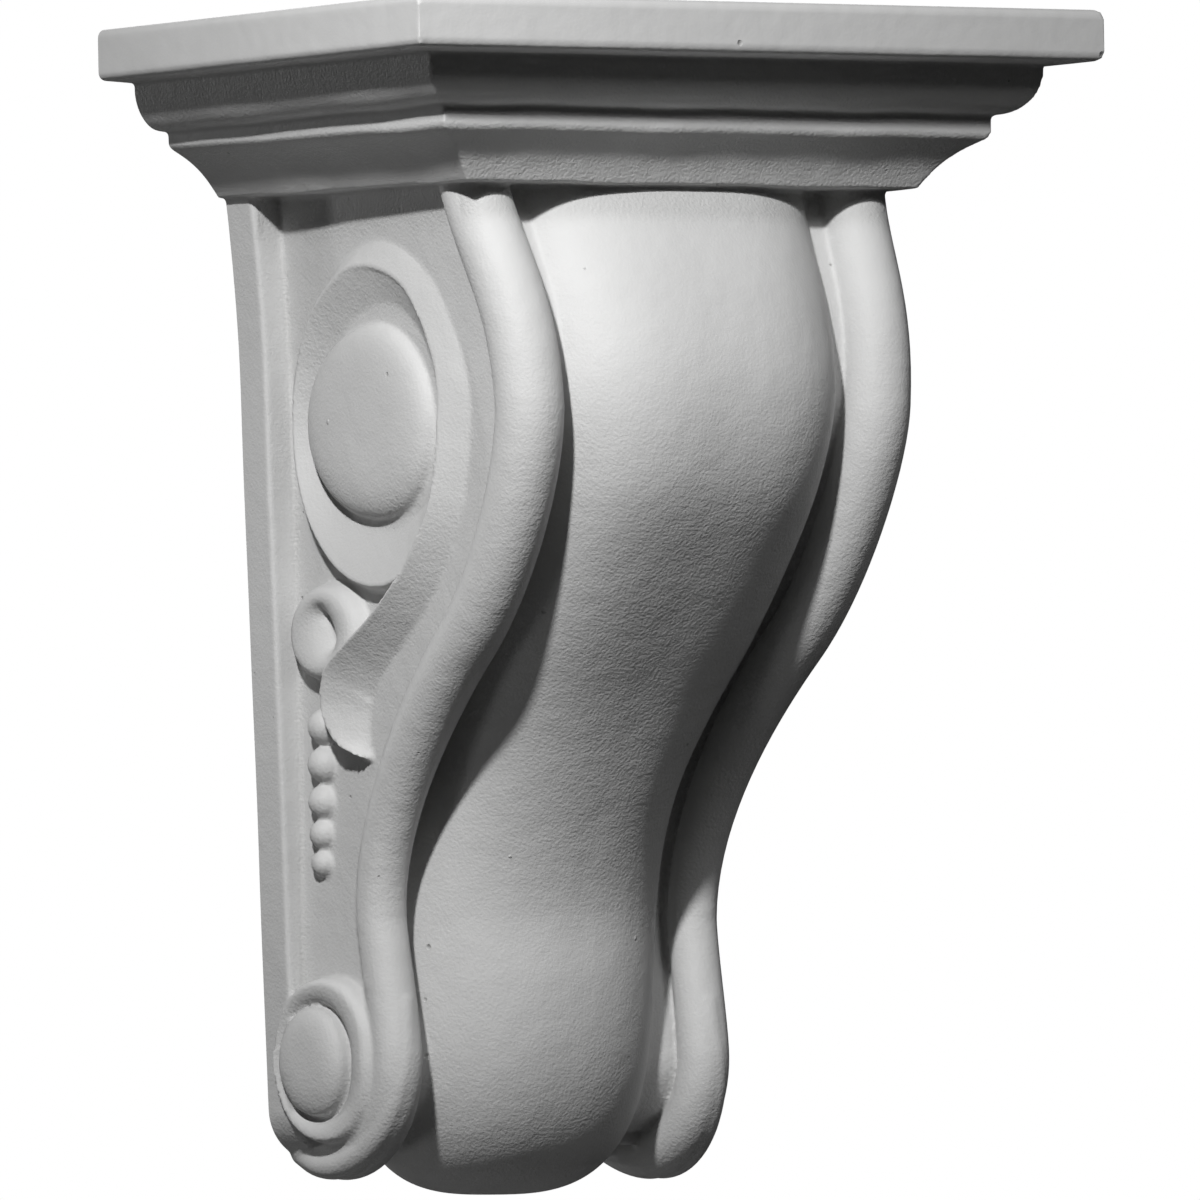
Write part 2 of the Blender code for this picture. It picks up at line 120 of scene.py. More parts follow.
def cap_profile():
    """(inset at the sides, inset in front, drop) from the top of the slab to the foot of the cove."""
    profile = []
    for turn in quarter(6):
        inset = slab_edge * (1 - math.sin(turn))
        profile.append((inset, inset, slab_edge * (1 - math.cos(turn))))
    for turn in quarter(6):
        inset = slab_edge * (1 - math.cos(turn))
        profile.append((inset, inset, slab_thickness - slab_edge * (1 - math.sin(turn))))
    profile.append((slab_overhang_side, slab_overhang_front, slab_thickness + 0.5))
    for turn in quarter(16):
        inset = ovolo_depth * (1 - math.cos(turn))
        drop = ovolo_top + ovolo_height * math.sin(turn)
        profile.append((slab_overhang_side + inset, slab_overhang_front + inset, drop))
    profile.append((fillet_inset, fillet_inset, fillet_top))
    profile.append((fillet_inset, fillet_inset, fillet_bottom - fillet_round))
    profile.append((fillet_inset + 0.5, fillet_inset + 0.5, fillet_bottom))
    for step in range(1, 13):
        t = step / 12
        hollow = cove_hollow * math.sin(math.pi * t)
        side = fillet_inset + cove_depth_side * t + hollow
        front = fillet_inset + cove_depth_front * t + hollow
        profile.append((side, front, fillet_bottom + (cove_bottom - fillet_bottom) * t - hollow))
    return profile


cap_rings = []
for side, front, drop in cap_profile():
    half = cap_half_width - side
    reach = cap_reach - front
    lift = left_run_closes * min(1.0, max(0.0, (drop - 30) / 8))
    corners = (
        (-half, -wall_overrun, drop - lift),
        (-half, reach, drop),
        (half, reach, drop),
        (half, -wall_overrun, drop),
    )
    cap_rings.append([at(*corner) for corner in corners])
closed_form(cap_rings)


# Back plate
# A flat plate stands behind the bracket and lies on the wall. It widens up to the cap, has small
# rounded corners at its foot, and its rim shows as a narrow strip beside the carved sides.
plate_thickness = 13.8
plate_foot = 344.5
plate_corner = 15.0
plate_half = 70.6
plate_taper = 0.025
plate_taper_from = 318
plate_flare = 2.8
plate_flare_from = 110
plate_lip = 0.9
plate_draft = 0.1


def plate_half_width(drop):
    flare = max(0.0, (plate_flare_from - drop) / 60)
    half = plate_half + plate_taper * (plate_taper_from - drop) + plate_flare * flare**2
    turn = min(1.0, max(0.0, (drop - plate_foot + plate_corner) / plate_corner))
    return half - plate_corner * (1 - math.sqrt(1 - turn**2))


plate_rings = []
plate_drops = [45 + 13 * step for step in range(6)] + [200, 280]
plate_drops += [plate_foot - plate_corner * (1 - math.sin(turn)) for turn in quarter(12)]
for drop in plate_drops:
    back = plate_half_width(drop)
    front = back - plate_draft
    ring = (
        (-back, -wall_overrun),
        (-front, plate_thickness - plate_lip),
        (-front + plate_lip, plate_thickness),
        (front - plate_lip, plate_thickness),
        (front, plate_thickness - plate_lip),
        (back, -wall_overrun),
    )
    plate_rings.append([at(x, y, drop) for x, y in ring])
closed_form(plate_rings)


# Side rolls
# A plain round roll runs down each front edge of the bracket: out under the cap, in at the waist,
# and round under the foot to the wall. It thins towards the waist, and the pair draws together.

# A node is reach, drop, heading in degrees outwards from straight down, and its two handles. The
# other stations give a value at a drop.
roll_nodes = (
    (118.7, 45.0, 7, 0, 27.6),
    (140.0, 119.3, 0, 36.6, 16.5),
    (98.4, 190.0, -51, 30.0, 31.0),
    (44.6, 272.1, 0, 31.1, 7.2),
    (50.4, 314.6, 0, 9.9, 15.5),
    (21.6, 343.3, -90, 15.0, 6.7),
    (-3.0, 335.8, -123, 8.3, 0),
)
roll_radii = ((45, 10.4), (150, 10.3), (195, 9.4), (250, 7.8), (345, 8.2))
roll_half_spacing = ((45, 69.7), (120, 63.4), (200, 59.5), (268, 57.1), (345, 55.9))


def along(stations, where, column=1):
    """Values on a smooth curve through (position, value, ...) stations."""
    x = np.array([station[0] for station in stations], float)
    y = np.array([station[column] for station in stations], float)
    slope = np.gradient(y, x)
    where = np.clip(np.asarray(where, float), x[0], x[-1])
    i = np.clip(np.searchsorted(x, where) - 1, 0, len(x) - 2)
    span = x[i + 1] - x[i]
    t = (where - x[i]) / span
    start = (1 + 2 * t) * (1 - t) ** 2 * y[i] + t * (1 - t) ** 2 * span * slope[i]
    end = t * t * (3 - 2 * t) * y[i + 1] + t * t * (t - 1) * span * slope[i + 1]
    return start + end


def roll_curve(steps):
    """(reach, drop) down the middle of a roll and the way out at right angles to it."""
    parts = []
    for a, b in zip(roll_nodes, roll_nodes[1:]):
        leave, arrive = (np.array([math.sin(n), math.cos(n)]) for n in np.radians([a[2], b[2]]))
        p, q = np.array(a[:2]), np.array(b[:2])
        t = np.linspace(0, 1, steps, endpoint=False)[:, None]
        parts.append(
            (1 - t) ** 3 * p
            + 3 * (1 - t) ** 2 * t * (p + leave * a[4])
            + 3 * (1 - t) * t * t * (q - arrive * b[3])
            + t**3 * q
        )
    path = np.vstack([*parts, [roll_nodes[-1][:2]]])
    heading = np.gradient(path, axis=0)
    heading /= np.linalg.norm(heading, axis=1)[:, None]
    return path, np.stack([heading[:, 1], -heading[:, 0]], axis=1)


def roll_tree():
    """Sweeps a round section down a curve, as thick as the curve's own radius says."""
    tree = bpy.data.node_groups.new("roll_sweep", "GeometryNodeTree")
    sockets = tree.interface
    sockets.new_socket("Path", in_out="INPUT", socket_type="NodeSocketGeometry")
    sides = sockets.new_socket("Sides", in_out="INPUT", socket_type="NodeSocketInt")
    finish = sockets.new_socket("Finish", in_out="INPUT", socket_type="NodeSocketMaterial")
    sockets.new_socket("Roll", in_out="OUTPUT", socket_type="NodeSocketGeometry")
    start = tree.nodes.new("NodeGroupInput")
    end = tree.nodes.new("NodeGroupOutput")
    section = tree.nodes.new("GeometryNodeCurvePrimitiveCircle")
    section.inputs["Radius"].default_value = 1.0
    sweep = tree.nodes.new("GeometryNodeCurveToMesh")
    sweep.inputs["Fill Caps"].default_value = True
    thickness = tree.nodes.new("GeometryNodeInputRadius")
    tree.links.new(thickness.outputs["Radius"], sweep.inputs["Scale"])
    realize = tree.nodes.new("GeometryNodeRealizeInstances")
    dress = tree.nodes.new("GeometryNodeSetMaterial")
    tree.links.new(start.outputs["Sides"], section.inputs["Resolution"])
    tree.links.new(start.outputs["Path"], sweep.inputs["Curve"])
    tree.links.new(section.outputs["Curve"], sweep.inputs["Profile Curve"])
    tree.links.new(sweep.outputs["Mesh"], realize.inputs["Geometry"])
    tree.links.new(realize.outputs["Geometry"], dress.inputs["Geometry"])
    tree.links.new(start.outputs["Finish"], dress.inputs["Material"])
    tree.links.new(dress.outputs["Geometry"], end.inputs["Roll"])
    return tree, sides.identifier, finish.identifier


def keep_evaluated(source):
    """Adds what a Geometry Nodes object makes to the forms, and removes the object."""
    graph = bpy.context.evaluated_depsgraph_get()
    mesh = bpy.data.meshes.new_from_object(source.evaluated_get(graph))
    triangulate = bmesh.new()
    triangulate.from_mesh(mesh)
    bmesh.ops.remove_doubles(triangulate, verts=triangulate.verts, dist=1e-6)
    bmesh.ops.recalc_face_normals(triangulate, faces=triangulate.faces)
    bmesh.ops.triangulate(triangulate, faces=triangulate.faces)
    points = np.array([v.co[:] for v in triangulate.verts])
    triangles = np.array([[v.index for v in f.verts] for f in triangulate.faces])
    triangulate.free()
    forms.append((points, triangles))
    bpy.data.objects.remove(source, do_unlink=True)
    bpy.data.meshes.remove(mesh)


primer = bpy.data.materials.new("white_primer")
sweep_tree, sides_input, finish_input = roll_tree()


def sweep_roll(name, knots, sides):
    """Adds a round roll through knots, each a half width, reach, drop and radius."""
    curve = bpy.data.curves.new(name, "CURVE")
    curve.dimensions = "3D"
    spline = curve.splines.new("POLY")
    spline.points.add(len(knots) - 1)
    for point, (half, reach, drop, radius) in zip(spline.points, knots):
        point.co = (*at(half, reach, drop), 1)
        point.radius = radius / 1000
    roll = bpy.data.objects.new(name, curve)
    bpy.context.scene.collection.objects.link(roll)
    sweep = roll.modifiers.new("sweep", "NODES")
    sweep.node_group = sweep_tree
    sweep[sides_input] = sides
    sweep[finish_input] = primer
    keep_evaluated(roll)


roll_line, roll_out = roll_curve(18)
for side in (1, -1):
    roll_knots = []
    for reach, drop in roll_line:
        half = side * float(along(roll_half_spacing, drop))
        roll_knots.append((half, reach, drop, float(along(roll_radii, drop))))
    sweep_roll("roll", roll_knots, 48)


# Carved sides
# Between plate and roll each side is a flat panel with low carving: a dished round with a boss,
# a leaf that rolls off its rim and curls to a lobe, and a small volute. It is modelled as the
# height of the carving over the panel, on one closed body with the web between the rolls.

# An oval is its centre and its half axes to the wall, outwards and down. A leaf row is the reach
# and drop of its proud inner edge, those of its outer edge, and its height.
dish_centre, dish_axes = (66.0, 123.2), (46.4, 38.0, 51.0)
boss_centre, boss_axes = (65.0, 122.3), (37.8, 30.5, 29.9)
dish_ridge = 0.965
rim_height = 5.9
dish_floor = 0.3
boss_height = 8.3
leaf_rows = (
    (31.0, 92.0, 31.6, 89.5, 4.0),
    (43.0, 81.4, 46.0, 74.0, 5.6),
    (60.0, 74.6, 73.0, 67.6, 6.0),
    (86.0, 82.0, 98.5, 80.0, 6.5),
    (101.8, 106.0, 113.5, 105.0, 7.2),
    (103.3, 127.0, 116.0, 125.0, 8.0),
    (99.0, 148.0, 110.5, 149.0, 8.8),
    (85.6, 167.0, 98.5, 167.5, 9.8),
    (68.1, 181.0, 83.0, 183.0, 10.4),
    (52.1, 190.0, 68.0, 194.0, 10.4),
    (42.0, 196.5, 57.5, 202.5, 10.0),
    (37.9, 205.0, 52.5, 209.0, 9.2),
    (39.0, 213.5, 51.5, 215.0, 8.2),
    (43.8, 220.0, 51.2, 220.0, 6.6),
    (51.0, 223.8, 51.4, 223.5, 3.6),
)
leaf_dip = ((4.5, 0.0), (6, 0.18), (9, 0.18), (10.5, 0.0))
leaf_fall = 1.3
volute_centre, volute_axes = (34.8, 185.2), (19.4, 19.4, 15.4)
volute_eye = ((33.5, 180.0), (37.5, 188.0))
volute_ridge = 0.70
volute_height = 6.6
eye_height = 0.6
eye_half_width = 0.8
valley_half = 65.2
valley_flare = 3.6
crease_share = 0.55


def valley_half_width(drop):
    return valley_half + valley_flare * np.clip((160 - drop) / 100, 0, None) ** 2


def crease_half_width(drop):
    return along(roll_half_spacing, drop) + crease_share * along(roll_radii, drop)


def panel_half_width(reach, drop):
    """The panel runs straight from the plate to the crease behind the roll."""
    down = roll_line[: np.argmax(roll_line[:, 1])]
    roll_reach = np.interp(np.minimum(drop, roll_nodes[4][1]), down[:, 1], down[:, 0])
    share = np.clip((reach - plate_thickness) / (roll_reach - plate_thickness), 0, 1)
    return valley_half_width(drop) * (1 - share) + crease_half_width(drop) * share


def smooth_step(t):
    t = np.clip(t, 0, 1)
    return t * t * (3 - 2 * t)


def oval_distance(reach, drop, centre, axes):
    """0 at the centre of an oval and 1 on its edge."""
    half = np.where(reach < centre[0], axes[0], axes[1])
    return np.hypot((reach - centre[0]) / half, (drop - centre[1]) / axes[2])


def line_distance(reach, drop, line):
    """The distance from each place to a line of points."""
    nearest = np.full(reach.shape, 1e9)
    for (x0, y0), (x1, y1) in zip(line, line[1:]):
        dx, dy = x1 - x0, y1 - y0
        t = np.clip(((reach - x0) * dx + (drop - y0) * dy) / (dx * dx + dy * dy), 0, 1)
        nearest = np.minimum(nearest, np.hypot(reach - x0 - t * dx, drop - y0 - t * dy))
    return nearest


def inside(reach, drop, outline):
    """Whether each place lies inside a closed outline."""
    within = np.zeros(reach.shape, bool)
    for (x0, y0), (x1, y1) in zip(outline, np.roll(outline, -1, axis=0)):
        crosses = (y0 > drop) != (y1 > drop)
        slant = (x1 - x0) * (drop - y0) / (y1 - y0 if y1 != y0 else 1e-9) + x0
        within ^= crosses & (reach < slant)
    return within


def dish_carving(reach, drop):
    """A raised rim that dips to a floor round a domed boss."""
    rim = oval_distance(reach, drop, dish_centre, dish_axes)
    boss = oval_distance(reach, drop, boss_centre, boss_axes)
    climb = (boss - 1.0) / np.maximum(boss - 1.0 + (dish_ridge - rim) * 1.25, 1e-6)
    climb = np.clip(climb, 0, 1)
    bowl = dish_floor + (rim_height - dish_floor) * climb**1.3
    dome = boss_height * np.clip(1 - boss**4.6, 0, 1) ** 0.37
    inner = np.maximum(bowl, dome) + valley_half_width(drop) - panel_half_width(reach, drop)
    outside = (rim - dish_ridge) / (1 - dish_ridge)
    return np.where(rim < 1.0, inner * (1 - smooth_step(outside)), 0.0)


def leaf_carving(reach, drop):
    """A strip that climbs to a proud inner edge and, above its lobe, sinks at its outer edge."""
    rows = [(row, *sizes) for row, sizes in enumerate(leaf_rows)]
    where = np.linspace(0, len(rows) - 1, 320)
    inner = np.stack([along(rows, where, 1), along(rows, where, 2)], axis=1)
    outer = np.stack([along(rows, where, 3), along(rows, where, 4)], axis=1)
    ridge = along(rows, where, 5)
    to_inner = line_distance(reach, drop, inner)
    to_outer = line_distance(reach, drop, outer)
    nearest = np.zeros(reach.shape, int)
    best = np.full(reach.shape, 1e9)
    for row, (a, b) in enumerate(inner):
        gap = (reach - a) ** 2 + (drop - b) ** 2
        closer = gap < best
        nearest[closer] = row
        best = np.where(closer, gap, best)
    rises = valley_half_width(inner[:, 1]) - panel_half_width(inner[:, 0], inner[:, 1])
    top = (ridge + rises)[nearest]
    within = inside(reach, drop, np.vstack([inner, outer[::-1]]))
    dip = np.interp(where, *zip(*leaf_dip))[nearest]
    share = to_outer / np.maximum(to_outer + to_inner, 1e-6)
    slope = ((1 + dip) * share**0.9 - dip) * smooth_step(share / 0.04)
    fall = top * (1 - smooth_step(to_inner / leaf_fall))
    beside = (to_inner < leaf_fall) & (to_outer > to_inner)
    return np.where(within, top * slope, np.where(beside, fall, 0.0))


def volute_carving(reach, drop):
    """A small rolled end, round outside, that falls into a slit of an eye."""
    edge = oval_distance(reach, drop, volute_centre, volute_axes)
    past_ridge = np.clip(edge - volute_ridge, 0, None) / (1 - volute_ridge)
    outside = volute_height * np.sqrt(np.clip(1 - past_ridge**2, 0, 1))
    to_eye = np.clip(line_distance(reach, drop, volute_eye) - eye_half_width, 0, None)
    to_ridge = np.clip(volute_ridge - edge, 0, None) * 16
    funnel = np.clip(to_eye / np.maximum(to_eye + to_ridge, 1e-6), 0, 1)
    inner = eye_height + (volute_height - eye_height) * np.sin(funnel * math.pi / 2) ** 0.8
    return np.where(edge < volute_ridge, inner, outside)


def carving(reach, drop):
    leaf = leaf_carving(reach, drop)
    height = np.where(leaf < 0, leaf, np.maximum(dish_carving(reach, drop), leaf))
    hollow = oval_distance(reach, drop, dish_centre, dish_axes) < 0.9
    height = np.where(hollow, dish_carving(reach, drop), height)
    return np.maximum(height, volute_carving(reach, drop))


web_depth = ((45, 0.05), (110, 0.20), (145, 0.65), (345, 0.70))
web_end = 27.5
body_line, body_out = roll_curve(110)
across = 200
reaches, drops, widths = [], [], []
for (reach, drop), out in zip(body_line, body_out):
    if drop > roll_nodes[4][1] and reach < web_end:
        break
    back_drop = drop if drop < 300 else 300 + 0.55 * (drop - 300)
    share = (plate_thickness + wall_overrun) / (reach + wall_overrun)
    valley_drop = back_drop + (drop - back_drop) * share
    t = np.linspace(0, 1, across)
    behind = float(along(web_depth, drop)) * float(along(roll_radii, drop))
    panel_reach = plate_thickness + (reach - plate_thickness) * t
    panel_drop = valley_drop + (drop - valley_drop) * t
    reaches.append([-wall_overrun, *panel_reach, reach - behind * out[0]])
    drops.append([back_drop, *panel_drop, drop - behind * out[1]])
    valley = float(valley_half_width(valley_drop))
    flat = valley * (1 - t) + float(crease_half_width(drop)) * t
    widths.append([valley, *flat, float(along(roll_half_spacing, drop))])
reaches, drops, widths = np.array(reaches), np.array(drops), np.array(widths)
relief = carving(reaches[:, 1:-1], drops[:, 1:-1])
fade = smooth_step((reaches[:, 1:-1] - plate_thickness) / 0.8)
widths[:, 1:-1] += relief * fade
right = np.stack(at(widths, reaches, drops), axis=2)
left = right[:, ::-1] * np.array([-1, 1, 1])
closed_form(np.concatenate([right, left], axis=1))


# Swell
# The full front between the rolls bellies out below the cap, draws in at the waist and swells
# again to a round foot that turns under to the wall. Its sections are rounded oblongs above and
# ovals below, given as drop, front reach, axis reach, half width and squareness.
swell_sections = (
    (48.0, 128.6, 88.0, 59.0, 3.0),
    (54.0, 133.6, 90.0, 58.0, 3.0),
    (66.0, 140.6, 93.0, 56.5, 3.0),
    (88.0, 151.1, 99.0, 56.0, 3.0),
    (118.0, 157.1, 103.0, 55.0, 3.0),
    (144.0, 151.1, 99.0, 51.5, 3.0),
    (172.0, 132.6, 87.0, 48.0, 3.0),
    (190.0, 118.6, 75.0, 45.5, 3.0),
    (210.0, 102.6, 59.0, 42.5, 2.8),
    (232.0, 87.6, 42.0, 41.5, 2.5),
    (250.0, 77.1, 33.0, 43.5, 2.3),
    (270.0, 69.1, 27.0, 45.7, 2.25),
    (292.0, 67.1, 23.0, 46.5, 2.2),
)
foot_axis = 17.6
foot_bottom = 355.99
foot_front_power = 2.4
foot_side_power = 3.2


def swell_ring(front, axis, half, power, drop):
    turns = np.linspace(0, 2 * math.pi, 144, endpoint=False)
    c, s = np.cos(turns), np.sin(turns)
    x = half * np.sign(c) * np.abs(c) ** (2 / power)
    y = axis + (front - axis) * np.sign(s) * np.abs(s) ** (2 / power)
    return np.stack(at(x, y, np.full(len(turns), drop)), axis=1)


swell_rings = []
top_drop = swell_sections[0][0]
foot_drop, front, axis, half, power = swell_sections[-1]
for drop in np.linspace(top_drop, foot_drop, 130):
    sizes = [float(along(swell_sections, drop, column)) for column in range(1, 5)]
    swell_rings.append(swell_ring(*sizes, drop))
for step in range(1, 60):
    t = math.sin(math.radians(90) * step / 60)
    middle = axis + (foot_axis - axis) * t
    reach = middle + (front - axis) * (1 - t**foot_front_power) ** (1 / foot_front_power)
    narrow = half * (1 - t**foot_side_power) ** (1 / foot_side_power)
    drop = foot_drop + (foot_bottom - foot_drop) * t
    swell_rings.append(swell_ring(reach, middle, narrow, power, drop))
closed_form(swell_rings)


# Beads
# Five beads hang in a string below the volute, each a ball sunk half into the panel and pressed
# against the next, and the lower ones smaller. Each is given as reach, drop and radius.
bead_places = (
    (27.5, 213.4, 5.7),
    (26.8, 224.9, 5.7),
    (25.6, 236.1, 5.25),
    (24.8, 246.1, 4.7),
    (24.3, 255.0, 4.2),
)


def bead_tree():
    """Sets a ball on every point, as large as the point's bead_radius."""
    tree = bpy.data.node_groups.new("bead_string", "GeometryNodeTree")
    sockets = tree.interface
    sockets.new_socket("Places", in_out="INPUT", socket_type="NodeSocketGeometry")
    rings = sockets.new_socket("Rings", in_out="INPUT", socket_type="NodeSocketInt")
    finish = sockets.new_socket("Finish", in_out="INPUT", socket_type="NodeSocketMaterial")
    sockets.new_socket("Beads", in_out="OUTPUT", socket_type="NodeSocketGeometry")
    start = tree.nodes.new("NodeGroupInput")
    end = tree.nodes.new("NodeGroupOutput")
    ball = tree.nodes.new("GeometryNodeMeshUVSphere")
    ball.inputs["Segments"].default_value = 32
    ball.inputs["Radius"].default_value = 1.0
    size = tree.nodes.new("GeometryNodeInputNamedAttribute")
    size.data_type = "FLOAT"
    size.inputs["Name"].default_value = "bead_radius"
    place = tree.nodes.new("GeometryNodeInstanceOnPoints")
    realize = tree.nodes.new("GeometryNodeRealizeInstances")
    dress = tree.nodes.new("GeometryNodeSetMaterial")
    tree.links.new(start.outputs["Rings"], ball.inputs["Rings"])
    tree.links.new(start.outputs["Places"], place.inputs["Points"])
    tree.links.new(ball.outputs["Mesh"], place.inputs["Instance"])
    tree.links.new(size.outputs["Attribute"], place.inputs["Scale"])
    tree.links.new(place.outputs["Instances"], realize.inputs["Geometry"])
    tree.links.new(realize.outputs["Geometry"], dress.inputs["Geometry"])
    tree.links.new(start.outputs["Finish"], dress.inputs["Material"])
    tree.links.new(dress.outputs["Geometry"], end.inputs["Beads"])
    return tree, rings.identifier, finish.identifier


string_tree, rings_input, bead_finish_input = bead_tree()
bead_points, bead_sizes = [], []
for side in (1, -1):
    for reach, drop, radius in bead_places:
        bead_points.append(at(side * float(panel_half_width(reach, drop)), reach, drop))
        bead_sizes.append(radius / 1000)
string_mesh = bpy.data.meshes.new("bead_places")
string_mesh.from_pydata(bead_points, [], [])
string_mesh.attributes.new("bead_radius", "FLOAT", "POINT").data.foreach_set("value", bead_sizes)
beads = bpy.data.objects.new("beads", string_mesh)
bpy.context.scene.collection.objects.link(beads)
stringing = beads.modifiers.new("stringing", "NODES")
stringing.node_group = string_tree
stringing[rings_input] = 18
stringing[bead_finish_input] = primer
keep_evaluated(beads)


# Foot rings
# At the foot of each side a plain ring with a low boss closes the scroll. It laps over the plate
# and the roll, and its face leans in a little towards the front and the foot. Below it the roll
# thickens to a lip that goes round the ring, with a dark recess between the two.
ring_centre, ring_axes = (27.9, 315.4), (21.6, 25.6)
foot_boss_centre, foot_boss_axes = (23.0, 315.4), (14.4, 16.9)
groove_centre = (23.5, 315.7)
ring_rim = -6.4
ring_floor = -4.4
ring_root = -14.0
ring_half = 72.9
ring_lean = 0.145
ring_foot_lean = 0.07
ring_crest_share = 0.30
foot_boss_edge = -2.8
foot_boss_rise = 5.0
lip_starts = 296
lip_offset = 3.7
lip_radius = 4.4
lip_root_half = 56.0
lip_rise = 4.7


def oval(centre, axes, scale, power=2.0):
    turns = np.linspace(0, 2 * math.pi, 96, endpoint=False)
    c, s = np.cos(turns), np.sin(turns)
    reach = centre[0] + axes[0] * scale * np.sign(c) * np.abs(c) ** (2 / power)
    drop = centre[1] + axes[1] * scale * np.sign(s) * np.abs(s) ** (2 / power)
    return np.stack([reach, drop], axis=1)


def ring_face(reach, drop):
    """Half width of the plane of the ring's crest."""
    return ring_half - ring_lean * (reach - 7) - ring_foot_lean * np.clip(drop - 318, 0, None)


lip_line = (roll_line + lip_offset * roll_out)[roll_line[:, 1] > lip_starts]
for side in (1, -1):
    lip_knots = []
    for step, (reach, drop) in enumerate(lip_line):
        near_wall = 0.5 + 0.5 * smooth_step(reach / 16)
        ease = float(smooth_step(1.7 * step / len(lip_line)) * near_wall)
        lip_knots.append((side * (lip_root_half + lip_rise * ease), reach, drop, lip_radius))
    sweep_roll("lip", lip_knots, 24)
ring_edge = oval(ring_centre, ring_axes, 1.0, 2.2)
groove = oval(groove_centre, foot_boss_axes, 1.07)
ring_levels = [(ring_edge, ring_root), (ring_edge, ring_rim)]
for turn in quarter(7)[1:]:
    share = ring_crest_share * (1 - math.cos(turn))
    ring_levels.append((ring_edge * (1 - share) + groove * share, ring_rim * (1 - math.sin(turn))))
for turn in quarter(5)[1:]:
    share = ring_crest_share + (1 - ring_crest_share) * math.sin(turn)
    ring_levels.append((ring_edge * (1 - share) + groove * share, ring_floor * (1 - math.cos(turn))))
ring_levels.append((oval(foot_boss_centre, foot_boss_axes, 1.0), ring_floor))
for turn in quarter(8)[1:]:
    dome = oval(foot_boss_centre, foot_boss_axes, 0.35 + 0.64 * math.cos(turn))
    ring_levels.append((dome, foot_boss_edge + foot_boss_rise * math.sin(turn) ** 0.7))
for side in (1, -1):
    rings = []
    for places, height in ring_levels:
        reach, drop = places[:, 0], places[:, 1]
        half = ring_face(reach, drop) + height
        rings.append(np.stack(at(side * half, reach, drop), axis=1))
    closed_form(rings)


# Casting
# The corbel is one pour of rigid foam from a flexible mould, so its creases are softly filled
# and its runs waver a little. The forms are made one skin here and cut flat where it meets the
# wall.
grain_of_mould = 0.0007
softening_passes = 3
most_triangles = 190_000
sharpest_fold = 58


def one_skin():
    """All the forms as a single closed mesh."""
    points, triangles, count = [], [], 0
    for form_points, form_triangles in forms:
        points.append(form_points)
        triangles.append(form_triangles + count)
        count += len(form_points)
    points, triangles = np.vstack(points), np.vstack(triangles)
    mesh = bpy.data.meshes.new("corbel_casting")
    mesh.vertices.add(len(points))
    mesh.vertices.foreach_set("co", points.ravel())
    mesh.loops.add(triangles.size)
    mesh.loops.foreach_set("vertex_index", triangles.ravel().astype(np.int32))
    mesh.polygons.add(len(triangles))
    mesh.polygons.foreach_set("loop_start", np.arange(0, triangles.size, 3, dtype=np.int32))
    mesh.update(calc_edges=True)
    body = bpy.data.objects.new("corbel_casting", mesh)
    bpy.context.scene.collection.objects.link(body)
    skin = body.modifiers.new("skin", "REMESH")
    skin.mode = "VOXEL"
    skin.voxel_size = grain_of_mould
    soften = body.modifiers.new("soften", "SMOOTH")
    soften.factor = 0.5
    soften.iterations = softening_passes
    return body


def settle(body):
    """Makes the modifiers' result the mesh itself."""
    graph = bpy.context.evaluated_depsgraph_get()
    made = bpy.data.meshes.new_from_object(body.evaluated_get(graph))
    body.modifiers.clear()
    old = body.data
    body.data = made
    bpy.data.meshes.remove(old)


def waver(points):
    """Long shallow waves of a flexible mould, strongest along the runs under the slab."""
    drop = top_height - points[:, 2] * 1000
    x, y = points[:, 0] * 1000, points[:, 1] * 1000
    under_cap = smooth_step((drop - 14) / 6) * (1 - smooth_step((drop - 54) / 20))
    ripple = np.sin(x / 11.0 + 0.8) + np.sin(x / 5.3 + y / 9.0) * 0.5
    ripple += np.sin(y / 12.5 + 2.1) + np.sin(y / 6.1) * 0.4
    points[:, 2] += under_cap * ripple * 0.00016
    sway = np.sin(drop / 23 + 1.3) + np.sin(drop / 11 + x / 17) * 0.5 + np.sin(y / 15 + x / 29)
    points[:, 0] += np.sign(points[:, 0]) * sway * 0.00010 * (1 - smooth_step((20 - drop) / 8))
    return points


def cut_flat(mesh):
    """Cuts away what lies behind the wall plane and closes the flat back."""
    work = bmesh.new()
    work.from_mesh(mesh)
    everything = [*work.verts, *work.edges, *work.faces]
    bmesh.ops.bisect_plane(
        work, geom=everything, dist=1e-7, plane_co=(0, 0, 0), plane_no=(0, 1, 0), clear_outer=True
    )
    rim = [edge for edge in work.edges if edge.is_boundary]
    bmesh.ops.holes_fill(work, edges=rim, sides=0)
    bmesh.ops.triangulate(work, faces=[face for face in work.faces if len(face.verts) > 4])
    work.to_mesh(mesh)
    work.free()


def mark_arrises(mesh):
    """Keeps the edge of the flat back, and any other true arris, sharp."""
    work = bmesh.new()
    work.from_mesh(mesh)
    for edge in work.edges:
        edge.smooth = edge.calc_face_angle(0.0) < math.radians(sharpest_fold)
    work.to_mesh(mesh)
    work.free()


